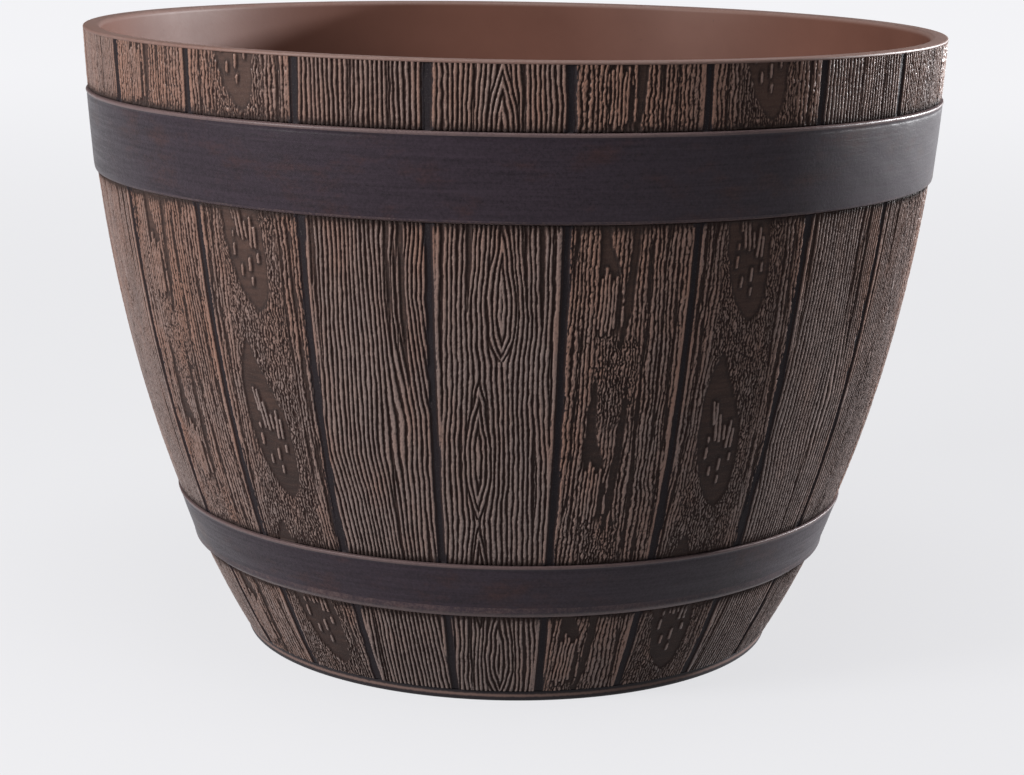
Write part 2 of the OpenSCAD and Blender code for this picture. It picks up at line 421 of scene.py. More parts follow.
# Leaf-shaped rings: middle, lower and upper tip, half-width, and share of the way up to its widest part
CATHEDRAL_LEAVES = (
    (1.2, 0.5, 62, 6.0, 0.36),
    (-6.8, 38, 89.5, 3.6, 0.5),
    (-7.0, 91, 154, 5.2, 0.44),
    (1.9, 161.5, 228, 5.8, 0.34),
    (1.6, 229, 284, 6.2, 0.42),
)
CATHEDRAL_LENSES = (
    (-11.2, 182, 234, 2.0),
    (-21.7, 140, 275, 1.0),
    (11.2, 186, 248, 1.5),
    (17.6, 174, 230, 1.8),
    (-15.6, 186, 250, 0.7),
    (-14.0, 100, 140, 0.8),
    (15.0, 84, 136, 1.3),
    (9.5, 240, 300, 0.9),
    (-9.5, 246, 300, 0.8),
    (12.0, 0, 48, 1.0),
    (-10.5, 4, 60, 0.8),
    (22.0, 0, 300, 0.7),
)


def cathedral_grain(u, z):
    """Ridges that part round nested, pointed rings."""
    wobble = clouded(0, u, z, (0.55, 5, 9, 26), (0.25, 2.5, 4, 27))
    inside = np.full_like(u, -1.0)
    shift = np.zeros_like(u)
    border = np.ones_like(u)
    for at, low, high, widest, belly in CATHEDRAL_LEAVES:
        along = np.clip((z - low) / (high - low), 0, 1) ** (math.log(0.5) / math.log(belly))
        half = widest * np.sin(np.pi * along)
        off = u + wobble - at
        depth = half - np.abs(off)
        inside = np.where((depth > 0) & (half > 0), depth, inside)
        shift = shift + 0.36 * np.sign(off) * half * np.exp(-np.maximum(-depth, 0) / 9) * (depth < 0)
        border = np.minimum(border, np.where(half > 0.3, blend((np.abs(depth) - 0.12) / 0.4), 1))
    x, flat = opened(clouded(u, u, z, (0.25, 2.2, 4, 25)), z, CATHEDRAL_LENSES)
    x = clouded(x - shift, u, z, (0.7, 11, 36, 21), (0.3, 4, 11, 22))
    share = beaded(u, z, 23, 0.7, 0.15)
    sides = ridges(x / CATHEDRAL_PITCH + 0.12 * cloud(u, z, 7, 60, 28), share) * (1 - flat)
    rings = ridges(inside / RING_PITCH, share - 0.06)
    return np.where(inside > 0, rings, sides) * border * pitted_skin(u, z, 24, 0.18)


COARSE_TIP = 108.0
COARSE_CHANNELS = (
    (-22.9, 1.4, 190, 246, 41),
    (-18.6, 0.9, 90, 190, 50),
    (7.9, 2.0, 74, 214, 44),
    (14.6, 1.0, 120, 300, 47),
    (19.6, 1.3, -20, 205, 53),
    (-16.4, 1.0, -20, 120, 56),
    (13.2, 1.2, -20, 100, 59),
    (8.4, 1.4, 246, 330, 57),
)
COARSE_STROKES = (
    (-2.5, -14, -5, 1.0, 0.0),
    (-12.1, -15, 6, 0.9, 0.02),
    (-10.6, -18, 10.5, 0.95, 0.02),
    (-9.1, -16, 8, 0.95, 0.02),
    (-7.6, -18, 5, 0.9, 0.03),
    (-6.1, -15, 7, 0.9, 0.03),
)


def coarse_grain(u, z):
    """Beaded ridges, with a tongue of grain that narrows downwards between two flats."""
    up = (z - COARSE_TIP) % REPEAT
    under = up - REPEAT
    carved = beaded_ridges(clouded(u, u, z, (0.9, 9, 26, 31), (0.4, 4, 9, 32)), z, 33)
    winding = between(u, -12.5 + 1.5 * cloud(u, z, 3, 9, 45), 6 + 1.5 * cloud(u, z, 3, 9, 46), 3)
    winding = winding * blend((-14 - under) / 8) * blend((under + 62) / 12)
    carved = carved * (1 - winding) + winding * worm_field(u, z, 85)
    edge = 0.4 * cloud(u, z, 1.7, 1.9, 36)
    bends = [0, 5.6, 12.7, 18.4, 27, 38, 44, 82]
    left = np.interp(up, bends, [-2.8, -3.8, -5.6, -8.2, -9.6, -9.6, -11, -11])
    far_left = np.interp(up, [8, 18, 32, 44, 82], [-12.8, -13.4, -13.2, -11.4, -11])
    right = np.interp(up, [0, 12, 20, 28, 44, 82], [-1.7, -0.9, -0.5, 0.2, 1.6, 1.6])
    far_right = np.interp(up, [0, 8, 30, 44, 82], [1.6, 2.4, 3.0, 2.0, 1.6])
    # Below the tip the right-hand flat runs on and narrows, and a wide one lies behind the strokes
    tail_left = np.interp(under, [-82, -24, -20, -10, 0], [-2, -2, -2.6, -1.5, -1.7])
    tail_right = np.interp(under, [-82, -24, -20, -10, 0], [-2, -2, -1.0, 0.8, 1.6])
    flats = [
        between(u + edge, start, end, FLAT_EDGE) * present
        for start, end, present in (
            (far_left, left + 2 * edge, blend((up - 8) / 3) * (up < 46)),
            (right, far_right + 2 * edge, up < 46),
            (tail_left, tail_right + 2 * edge, under > -24),
            (-13, -3.1 + 2 * edge, blend((under + 19) / 6) * (up > 60)),
            (-12.9, -4.4, up < 11),
        )
    ]
    carved = sunk(carved, u, z, flats, COARSE_CHANNELS)
    bent = clouded(u, u, z, (0.3, 2.4, 4, 37), (0.16, 1.1, 1.5, 38))
    return with_strokes(carved, bent, z, COARSE_TIP, COARSE_STROKES) * pitted_skin(u, z, 39, 0.18)


KNOT_TIP = 92.5
KNOT_CHANNELS = (
    (-19.4, 1.2, -20, 300, 71),
    (15.8, 1.1, 100, 215, 74),
    (20.4, 2.0, 74, 214, 77),
    (-22.6, 1.1, 100, 230, 80),
    (20.4, 1.4, 240, 330, 83),
)
KNOT_STROKES = (
    (-6.6, 38, 49, 1.1, -0.15),
    (-4.4, 31, 48, 1.2, -0.12),
    (-2.3, 30, 43, 1.2, -0.13),
    (-0.3, 31, 38, 1.1, -0.1),
    (-7.6, 23, 28.5, 1.2, 0.0),
    (-7.6, 30.5, 33.5, 1.1, 0.0),
    (1.7, 27, 40, 1.2, 0.03),
    (3.9, 27, 36, 1.2, -0.02),
    (4.6, 21, 25, 1.1, 0.0),
    (-4.3, 15, 19.7, 1.1, 0.0),
    (0.0, 17, 23, 1.2, 0.0),
    (0.6, 11, 15, 1.1, 0.0),
)


def knot_grain(u, z):
    """A smooth tongue with short strokes, in a field of winding grain between straight ridges."""
    up = (z - KNOT_TIP) % REPEAT
    lines = beaded_ridges(clouded(u, u, z, (0.8, 10, 34, 61), (0.4, 3, 8, 62)), z, 63)
    field = between(u, -14 + 2.5 * cloud(u, z, 3, 20, 65), 14 + 2.5 * cloud(u, z, 3, 20, 66), 4)
    carved = lines * (1 - field) + field * worm_field(u, z, 73)
    edge = 0.45 * cloud(u, z, 1.6, 1.6, 67)
    left = np.interp(
        up,
        [0, 4, 10, 18, 28, 40, 52, 62, 71, 82],
        [2.2, -2.5, -6.5, -9.6, -12, -13.4, -13.4, -11.5, -8, -8],
    )
    right = np.interp(
        up,
        [0, 3, 6, 12, 22, 30, 39, 50, 60, 71, 82],
        [2.8, 5.5, 7.2, 8.2, 8.6, 8.2, 6.4, 1.4, -3.6, -7.6, -8],
    )
    tongue = between(u + edge, left, right + 2 * edge, FLAT_EDGE) * (up < 71) * blend(up)
    carved = sunk(carved, u, z, [tongue], KNOT_CHANNELS)
    bent = clouded(u, u, z, (0.14, 1.1, 1.5, 70))
    return with_strokes(carved, bent, z, KNOT_TIP, KNOT_STROKES) * pitted_skin(u, z, 69, 0.18)


GRAINS = (coarse_grain, knot_grain, straight_grain, cathedral_grain)
# How much copper shows on the ridges of each of these kinds of stave
COPPER = (0.3, 0.12, -0.04, -0.04)


# Meshes


def add_object(name, data):
    """A new object in the scene."""
    made = bpy.data.objects.new(name, data)
    bpy.context.scene.collection.objects.link(made)
    return made


def form_piece(name, form):
    """A mesh object from a bmesh, which is used up."""
    mesh = bpy.data.meshes.new(name)
    form.to_mesh(mesh)
    form.free()
    return add_object(name, mesh)


def circle(form, radius, height, segments, centre=(0.0, 0.0)):
    """A level circle of points in a bmesh."""
    return [
        form.verts.new((centre[0] + radius * math.cos(turn), centre[1] + radius * math.sin(turn), height))
        for turn in np.linspace(0, 2 * math.pi, segments + 1)[:-1]
    ]


def bridge(form, loops, turned_over=False):
    """Quads between each closed loop of points and the next."""
    for near, far in zip(loops, loops[1:]):
        for a, b, c, d in zip(near, near[1:] + near[:1], far[1:] + far[:1], far):
            form.faces.new((a, d, c, b) if turned_over else (a, b, c, d))


def turned(radius, angle, height):
    """Points at these radii, angles and heights."""
    return np.stack([radius * np.cos(angle), radius * np.sin(angle), height], -1)


def mesh_piece(name, points, groups, smooth):
    """A mesh object from points in mm, with groups of faces, each with its places on the bake's map."""
    mesh = bpy.data.meshes.new(name)
    mesh.vertices.add(len(points))
    mesh.vertices.foreach_set("co", (np.asarray(points) * MM).astype(np.float32).ravel())
    corners = np.concatenate([faces.ravel() for faces, _ in groups])
    totals = np.concatenate([np.full(len(faces), faces.shape[1]) for faces, _ in groups])
    mesh.loops.add(len(corners))
    mesh.loops.foreach_set("vertex_index", corners.astype(np.int32))
    mesh.polygons.add(len(totals))
    starts = np.concatenate([[0], np.cumsum(totals)[:-1]])
    mesh.polygons.foreach_set("loop_start", starts.astype(np.int32))
    mesh.polygons.foreach_set("loop_total", totals.astype(np.int32))
    shaded = np.concatenate([np.full(len(g[0]), s) for g, s in zip(groups, smooth)])
    mesh.polygons.foreach_set("use_smooth", shaded)
    layer = mesh.uv_layers.new(name="OFBake")
    layer.data.foreach_set("uv", np.concatenate([uv.ravel() for _, uv in groups]).astype(np.float32))
    mesh.update(calc_edges=True)
    if mesh.validate(verbose=False):
        raise RuntimeError(f"{name} had broken faces")
    return add_object(name, mesh)


def corners_of(grid):
    """What a grid holds at the four corners of each of its cells."""
    return np.stack([grid[:-1, :-1], grid[:-1, 1:], grid[1:, 1:], grid[1:, :-1]], 2)


def quads(index):
    """Quads over a grid of points, from their numbers."""
    return corners_of(index).reshape(-1, 4)


def grid_map(across, up):
    """Places on the map for the quads of a grid, from its places across and up."""
    return corners_of(np.stack(np.meshgrid(across, up), -1)).reshape(-1, 4, 2)


def store(mesh, name, values):
    """Keeps one number for each point, which the materials read by name."""
    layer = mesh.attributes.new(name, "FLOAT", "POINT")
    layer.data.foreach_set("value", np.asarray(values, np.float32).ravel())


def sharpen(mesh, on_border):
    """Marks the edges between two border points as sharp."""
    ends = np.empty(len(mesh.edges) * 2, np.int32)
    mesh.edges.foreach_get("vertices", ends)
    sharp = on_border[ends].reshape(-1, 2).all(axis=1)
    mesh.attributes.new("sharp_edge", "BOOLEAN", "EDGE").data.foreach_set("value", sharp)


def box_blur(values, across, up):
    """Mean over a window of (2 * up + 1) rows by (2 * across + 1) columns."""
    for axis, half in ((0, up), (1, across)):
        pad = [(half + 1, half) if a == axis else (0, 0) for a in (0, 1)]
        total = np.cumsum(np.pad(values, pad, mode="edge"), axis=axis)
        high = np.take(total, range(2 * half + 1, total.shape[axis]), axis=axis)
        low = np.take(total, range(0, total.shape[axis] - 2 * half - 1), axis=axis)
        values = (high - low) / (2 * half + 1)
    return values


# Shader maths


class Wire:
    """An output of a node. An expression on wires and numbers adds its Math nodes."""

    def __init__(self, shop, socket):
        self.shop = shop
        self.socket = socket

    def join(self, operation, *values):
        """The result of a Math node."""
        return self.shop.node("ShaderNodeMath", {"operation": operation}, *values)

    def __add__(self, other):
        return self.join("ADD", self, other)

    __radd__ = __add__

    def __sub__(self, other):
        return self.join("SUBTRACT", self, other)

    def __rsub__(self, other):
        return self.join("SUBTRACT", other, self)

    def __mul__(self, other):
        return self.join("MULTIPLY", self, other)

    def __abs__(self):
        return self.join("ABSOLUTE", self)

    def swing(self, amount):
        """Noise from 0 to 1, made to swing to both sides of 0, over the given amount."""
        return (self - 0.5) * amount

    def clamped(self):
        """The value, kept from 0 to 1."""
        return self.join("MAXIMUM", self.join("MINIMUM", self, 1.0), 0.0)

    def step(self, low, high):
        """0 below low and 1 above high, with a smooth rise between."""
        settings = {"interpolation_type": "SMOOTHSTEP"}
        return self.shop.node("ShaderNodeMapRange", settings, self, low, high, 0.0, 1.0)


class Workshop:
    """Builds the nodes of one material."""

    def __init__(self, name):
        self.material = bpy.data.materials.new(name)
        self.material.use_nodes = True
        self.tree = self.material.node_tree
        self.tree.nodes.clear()

    def node(self, kind, settings, *values, out=0, **named):
        """Adds a node. Its settings come first, then the values or wires of its sockets."""
        made = self.tree.nodes.new(kind)
        for key, value in settings.items():
            setattr(made, key, value)
        sockets = [s for s in made.inputs if s.enabled]
        pairs = list(zip(sockets, values))
        pairs += [(made.inputs[key.replace("_", " ")], value) for key, value in named.items()]
        for socket, value in pairs:
            if isinstance(value, Wire):
                self.tree.links.new(value.socket, socket)
            elif socket.type == "RGBA" and len(value) == 3:
                socket.default_value = (*value, 1.0)
            else:
                socket.default_value = value
        outputs = [s for s in made.outputs if s.enabled]
        return Wire(self, outputs[out] if isinstance(out, int) else made.outputs[out])

    def mix(self, share, first, second, way="MIX"):
        """A colour between two colours."""
        return self.node("ShaderNodeMix", {"data_type": "RGBA", "blend_type": way}, share, first, second)

    def tinted(self, colour, tint):
        """A colour multiplied by a tint."""
        return self.mix(1.0, colour, tint, "MULTIPLY")

    def stored(self, name):
        """A number kept on the mesh."""
        return self.node("ShaderNodeAttribute", {"attribute_name": name}, out="Fac")

    def places(self):
        """Places on the object, in metres."""
        return self.node("ShaderNodeTexCoord", {}, out="Object")

    def way(self, axis):
        """Place along one axis of the object, in metres."""
        return self.node("ShaderNodeSeparateXYZ", {}, self.places(), out=axis)

    def stretched(self, x, y, z):
        """Places on the object, multiplied along each axis."""
        return self.node("ShaderNodeVectorMath", {"operation": "MULTIPLY"}, self.places(), (x, y, z))

    def noise(self, size, detail, rough, turn, place=None):
        """Noise in patches of about the given size in mm. Each turn gives another noise."""
        return self.node(
            "ShaderNodeTexNoise",
            {"noise_dimensions": "4D"},
            Vector=place or self.places(),
            W=turn,
            Scale=1 / (size * MM),
            Detail=detail,
            Roughness=rough,
        )

    def bump(self, height, distance, strength):
        """A normal from heights. The distance is in mm."""
        named = {"Strength": strength, "Distance": distance * MM, "Height": height}
        return self.node("ShaderNodeBump", {}, out="Normal", **named)

    def principled(self, **named):
        """The material, with a Principled shader."""
        return self.finish(self.node("ShaderNodeBsdfPrincipled", {}, out="BSDF", **named))

    def finish(self, shader):
        """The material, with the given shader."""
        output = self.tree.nodes.new("ShaderNodeOutputMaterial")
        self.tree.links.new(shader.socket, output.inputs["Surface"])
        return self.material


# Numbers kept on the staves' points: the carving's height, how deep it lies below what is round it (painted
# shade in the hollows), how near the stave's edge is, how near a band is (painted shade beside a band), and
# how much copper shows
LOOKS = ("carving", "hollow", "border", "soot", "copper")


def carved_plastic(colours):
    """Dark-stained plastic with rubbed ridges and painted shade, which follows the carving kept on the
    mesh.
    """
    shop = Workshop("carved_plastic")
    height, hollow, border, soot, copper = map(shop.stored, LOOKS)
    up = shop.way("Z")
    patches = shop.noise(30, 3, 0.6, turn=1.0)
    streaks = shop.noise(9, 3, 0.6, place=shop.stretched(1, 1, 0.12), turn=2.0)
    specks = shop.noise(0.8, 3, 0.7, turn=3.0)
    lines = shop.noise(1.6, 2, 0.6, place=shop.stretched(0.12, 0.12, 1), turn=11.0)
    grit = shop.noise(0.5, 2, 0.8, turn=12.0)
    warm = patches.swing(1.2) + streaks.swing(1.2) + up.step(0.12, 0.25) * 0.4 + border * 0.3
    top = shop.mix((warm + copper).step(-0.2, 0.9), colours.ridge, colours.copper)
    worn = specks.swing(0.5) + streaks.swing(0.3) + copper * 0.2
    # Rubbed tops fade out beside the bands: painted shade
    rubbed = (height + worn - soot * 0.7).step(0.42, 0.95)
    dark = shop.tinted(colours.flat, (0.38, 0.44, 0.5))
    # Flats darken lower down, and darken beside the bands and in hollows as painted shade
    stain = (0.95 - up.step(0.06, 0.24) * 0.6 + patches.swing(1.1) + soot + hollow * 3).clamped()
    flat = shop.mix((stain + lines.swing(1.2)).clamped(), colours.flat, dark)
    ground = shop.mix(border.step(0.45, 0.8), flat, colours.ground)
    # Hollows take the valley colour: dark stain and painted shade together
    ground = shop.mix(hollow.step(0.06, 0.4), ground, colours.valley)
    colour = shop.mix(rubbed, ground, top)
    colour = shop.mix((1 - grit).step(0.56, 0.7) * 0.6, colour, colours.valley)
    dusty = shop.mix(grit.step(0.56, 0.75) * 0.16, colour, (0.42, 0.37, 0.34))
    rough = 0.66 - rubbed * 0.26 + specks.swing(0.2)
    normal = shop.bump(specks + lines * 0.4 + grit * 0.6, 0.22, 0.8)
    return shop.principled(
        Base_Color=dusty,
        Roughness=rough,
        Normal=normal,
        Specular_IOR_Level=0.14,
        Coat_Weight=rubbed * 0.45,
        Coat_Roughness=0.33,
    )


# Heights in metres: of the pale line round the foot, a painted highlight on its bead, and where the foot's
# dark stain and painted shade end and the rim's rubbed edge begins
BEAD_HEIGHT = 0.0028
NECK_HEIGHTS = (0.0052, 0.0058)
RIM_HEIGHTS = (0.2785, 0.2806)


def smooth_plastic(colours):
    """Brown plastic as it comes from the mould, with a painted highlight and painted shade on the foot."""
    shop = Workshop("smooth_plastic")
    patches = shop.noise(60, 4, 0.6, turn=4.0)
    specks = shop.noise(1.6, 3, 0.7, turn=5.0)
    up = shop.way("Z")
    darker = shop.tinted(colours.brown, (0.62, 0.56, 0.54))
    colour = shop.mix(patches.swing(1.4) + 0.35, colours.brown, darker)
    from_bead = abs(up - BEAD_HEIGHT + specks.swing(0.001))
    # A pale line along the middle of the foot's bead: a painted highlight
    bead_highlight = shop.mix(0.5, darker, colours.ridge)
    # Dark above and below that line: the foot's stain and painted shade
    stained = shop.mix(from_bead.step(0.0001, 0.001), bead_highlight, colours.ground)
    colour = shop.mix(up.step(*NECK_HEIGHTS), stained, colour)
    colour = shop.mix(specks.step(0.66, 0.74) * 0.55, colour, (0.02, 0.015, 0.014))
    rubbed = up.step(*RIM_HEIGHTS) * (specks * 0.7 + patches.swing(0.6) + 0.1)
    colour = shop.mix(rubbed.clamped(), colour, colours.ridge)
    rough = 0.5 + patches.swing(0.16) + specks.swing(0.12)
    normal = shop.bump(specks, 0.1, 0.35)
    return shop.principled(Base_Color=colour, Roughness=rough, Normal=normal, Specular_IOR_Level=0.22)


def band_paint(colours):
    """Satin paint, brushed on along the band and rubbed at its edges."""
    shop = Workshop("band_paint")
    edge = shop.stored("edge")
    brushed = shop.noise(7, 4, 0.65, place=shop.stretched(0.16, 0.16, 4.5), turn=6.0)
    patches = shop.noise(16, 4, 0.7, place=shop.stretched(0.6, 0.6, 1.3), turn=7.0)
    specks = shop.noise(1.2, 4, 0.8, turn=8.0)
    rust = shop.tinted(colours.brown, (0.42, 0.34, 0.32))
    warm = shop.mix(patches.step(0.48, 0.72) * 0.5, colours.band, rust)
    dark = shop.tinted(colours.band, (0.3, 0.28, 0.3))
    colour = shop.mix((brushed.swing(1.6) + specks.swing(2.4) + 0.35).clamped(), warm, dark)
    worn = (edge + specks.swing(0.9) + patches.swing(0.5)).step(0.55, 1.05)
    colour = shop.mix(worn * 0.75, colour, colours.band_edge)
    rough = 0.39 + brushed.swing(0.24) + specks.swing(0.2)
    normal = shop.bump(brushed * 0.5 + specks, 0.18, 0.6)
    return shop.principled(Base_Color=colour, Roughness=rough, Normal=normal, Specular_IOR_Level=0.2)


def plug_rubber(colours):
    """Soft matt rubber."""
    shop = Workshop("plug_rubber")
    specks = shop.noise(0.8, 3, 0.6, turn=9.0)
    patches = shop.noise(12, 3, 0.6, turn=10.0)
    colour = shop.mix(patches.swing(1.2) + 0.3, colours.rubber, (0.036, 0.03, 0.028))
    colour = shop.mix(specks.step(0.6, 0.8) * 0.25, colour, (0.09, 0.08, 0.075))
    rough = 0.68 + specks.swing(0.2)
    normal = shop.bump(specks, 0.08, 0.4)
    return shop.principled(Base_Color=colour, Roughness=rough, Normal=normal)


@cache
def material(maker):
    """What one of the functions above makes, made once."""
    return maker(values_of("paint"))


def dress(piece, body, slot, maker, *nodes):
    """Gives a piece its material and its body, and hides the nodes it stands for. The slot is not used."""
    piece.data.materials.append(material(maker))
    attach(piece, body)
    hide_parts(*nodes)


# Operators

# A raised rail along each edge of a stave
RAIL_INSET = 0.7
RAIL_HALF_WIDTH = 0.62
# Window of the mean that tells how deep a point lies: columns and rows to each side
WINDOW = (3, 2)
# Points across the back of a stave's panel
BACK_COLUMNS = 9
# Where a panel's face, its back and its two long edges lie across the bake's map, and the first two up it
FACE_MAP = (0.006, 0.94)
BACK_MAP = (0.95, 0.985)
EDGE_MAPS = (0.0, 0.996)
EDGE_MAP_WIDTH = 0.004
PANEL_MAP_HEIGHT = (0.01, 0.99)
# Where its two ends lie up the map
END_MAPS = (0.0, 0.994)
END_MAP_HEIGHT = 0.005


def carved_rows(tub, staves, bands):
    """Heights of the carving's rows, and whether each row is carved or lies in a band's seat."""
    low = tub.foot_height + tub.neck_height
    high = tub.height - tub.lip_band
    edges = [low]
    for box in (LOWER, UPPER):
        edges += [box[0][2] / MM, box[1][2] / MM + bands.gap]
    edges.append(high)
    rows = []
    carved = []
    for start, end in zip(edges[::2], edges[1::2]):
        steps = max(2, round((end - start) / staves.step_up))
        part = np.linspace(start, end, steps + 1)
        if rows:
            rows += [rows[-1], start]
            carved += [False, False]
        rows += list(part)
        carved += [True] * len(part)
    return np.array(rows), np.array(carved)


class PLANTER_OT_carve_staves(bpy.types.Operator):
    """Carves the staves, one closed panel for each"""

    bl_idname = "planter.carve_staves"
    bl_label = "Carve staves"

    def execute(self, context):
        tub, staves = values_of("tub"), values_of("staves")
        rows, is_carved = carved_rows(tub, staves, values_of("bands"))
        half_turn = math.pi / staves.count
        columns = 2 * round(half_turn * tub.rim_radius / staves.step_across) + 1
        share = np.linspace(-1, 1, columns)
        z, across = np.meshgrid(rows, share, indexing="ij")
        outer = wall_radius(tub, z)
        u = across * half_turn * outer
        ground = outer - staves.relief
        reach = half_turn * outer - staves.groove / 2
        side = np.where(u < 0, -40.0, 40.0)
        for kind, grain in enumerate(GRAINS):
            edge = reach + 0.12 * cloud(side, z, 1, 9, 90 + kind)
            inward = edge - np.abs(u)
            present = blend(0.8 + 2 * cloud(side, z, 1, 46, 100 + kind))
            half_rail = clouded(RAIL_HALF_WIDTH, u, z, (0.14, 1.2, 1.6, 110))
            rail = blend((half_rail - np.abs(inward - RAIL_INSET)) / 0.4 + 0.5)
            carving = np.maximum(grain(u, z), rail * present * pitted_skin(u, z, 112, 0.25))
            carving = carving * blend(inward / 0.5 + 0.5) * is_carved[:, None]
            looks = (
                carving,
                # How deep a point lies, which the material paints as shade
                np.clip(box_blur(carving, *WINDOW) - carving, 0, 1),
                np.exp(-np.clip(inward, 0, None) / 2.2),
                # How near a band is, which the material paints as shade
                np.exp(-self.way_to_band(rows, is_carved) / 1.6)[:, None] * np.ones(columns),
                np.full(z.shape, COPPER[kind]),
            )
            front = ground + staves.relief * carving
            for number in range(staves.count):
                if self.kind_of(number, staves.count) == kind:
                    angle = staves.turn - math.pi / 2 + (2 * number + 1) * half_turn + across * half_turn
                    self.panel(f"stave_{number + 1:02d}", angle, z, front, ground - tub.skin, looks)
        return {"FINISHED"}

    @staticmethod
    def kind_of(number, count):
        """The four kinds follow each other both ways from the front, and meet at the back."""
        return (number if number < count / 2 else number - count) % len(GRAINS)

    @staticmethod
    def way_to_band(rows, is_carved):
        """Distance of each row from the nearest row that lies in a band's seat."""
        seats = rows[~is_carved]
        return np.abs(rows[:, None] - seats).min(axis=1)

    @staticmethod
    def panel(name, angle, z, front, back, looks):
        """A closed panel between the radii of its front and its back."""
        rows, columns = z.shape
        bays = np.linspace(0, columns - 1, BACK_COLUMNS).round().astype(int)
        points = np.concatenate([
            turned(front, angle, z).reshape(-1, 3),
            turned(back[:, bays], angle[:, bays], z[:, bays]).reshape(-1, 3),
        ])
        index_front = np.arange(rows * columns).reshape(rows, columns)
        index_back = np.arange(rows * columns, len(points)).reshape(rows, BACK_COLUMNS)
        up = np.linspace(*PANEL_MAP_HEIGHT, rows)
        groups = [
            (quads(index_front), grid_map(np.linspace(*FACE_MAP, columns), up)),
            (quads(index_back)[:, ::-1], grid_map(np.linspace(*BACK_MAP, BACK_COLUMNS), up)[:, ::-1]),
        ]
        sides = ((index_back[:, 0], index_front[:, 0]), (index_front[:, -1], index_back[:, -1]))
        for side, start in zip(sides, EDGE_MAPS):
            groups.append((quads(np.stack(side, 1)), grid_map([start, start + EDGE_MAP_WIDTH], up)))
        for row, low in zip((0, -1), END_MAPS):
            ring = np.concatenate([index_front[row, ::-1], index_back[row]])
            along = np.append(np.linspace(*FACE_MAP[::-1], columns), np.linspace(*FACE_MAP, BACK_COLUMNS))
            level = np.repeat([low + END_MAP_HEIGHT, low], [columns, BACK_COLUMNS])
            around = np.stack([along, level], -1)
            if row:
                ring, around = ring[::-1], around[::-1]
            groups.append((ring[None], around[None]))
        piece = mesh_piece(name, points, groups, [True] + [False] * 5)
        for key, values in zip(LOOKS, looks):
            store(piece.data, key, np.append(values, np.zeros(index_back.size)))
        border = np.zeros(len(points), bool)
        border[index_front[[0, -1]]] = border[index_front[:, [0, -1]]] = True
        sharpen(piece.data, border)
        dress(piece, "tub", "tub_plastic", carved_plastic, "planter_shell")


def tub_profile(tub, relief):
    """Outline of the smooth moulding, from the floor inside, over the rim, to the floor below."""
    wall = partial(wall_radius, tub)
    inner = partial(inner_radius, tub, relief=relief)
    top = tub.height
    floor_top = tub.floor_lift + tub.floor_thick
    corner_top = floor_top + tub.floor_round
    floor_edge = inner(floor_top) - tub.floor_round
    mouth = tub.rim_radius - tub.lip_width
    mouth_low = top - tub.mouth_round
    lip_low = top - tub.lip_round
    high = top - tub.lip_band
    low = tub.foot_height + tub.neck_height
    neck = wall(low) - relief - tub.neck_depth
    half_foot = tub.foot_height / 2
    foot = wall(half_foot)
    inside_foot = foot - tub.foot_width
    ledge = 0.3
    chamfer = 0.6
    corner = (inner(floor_top), floor_top)
    return [
        *rounded((floor_edge, floor_top), corner, (inner(corner_top), corner_top), 10),
        *traced(inner, corner_top, mouth_low, 40)[1:],
        *rounded((mouth, mouth_low), (mouth, top), (mouth + tub.mouth_round, top), 8)[1:],
        *rounded((tub.rim_radius - tub.lip_round, top), (tub.rim_radius, top), (wall(lip_low), lip_low)),
        *rounded((wall(high + ledge), high + ledge), (wall(high), high), (wall(high) - ledge, high), 4)[1:],
        *traced(lambda z: wall(z) - relief - tub.skin, high, low, 40),
        (neck, low),
        (neck - ledge, (low + tub.foot_height) / 2),
        *rounded((neck, tub.foot_height), (foot, tub.foot_height), (foot, half_foot), 8),
        *rounded((foot, min(half_foot, tub.foot_round)), (foot, 0), (foot - tub.foot_round, 0), 8),
        (inside_foot + chamfer, 0),
        (inside_foot, chamfer),
        (inside_foot, tub.floor_lift),
        (floor_edge, tub.floor_lift),
    ]


def middle(box):
    """Middle of a box, seen from above."""
    return (box[0][0] + box[1][0]) / 2, (box[0][1] + box[1][1]) / 2


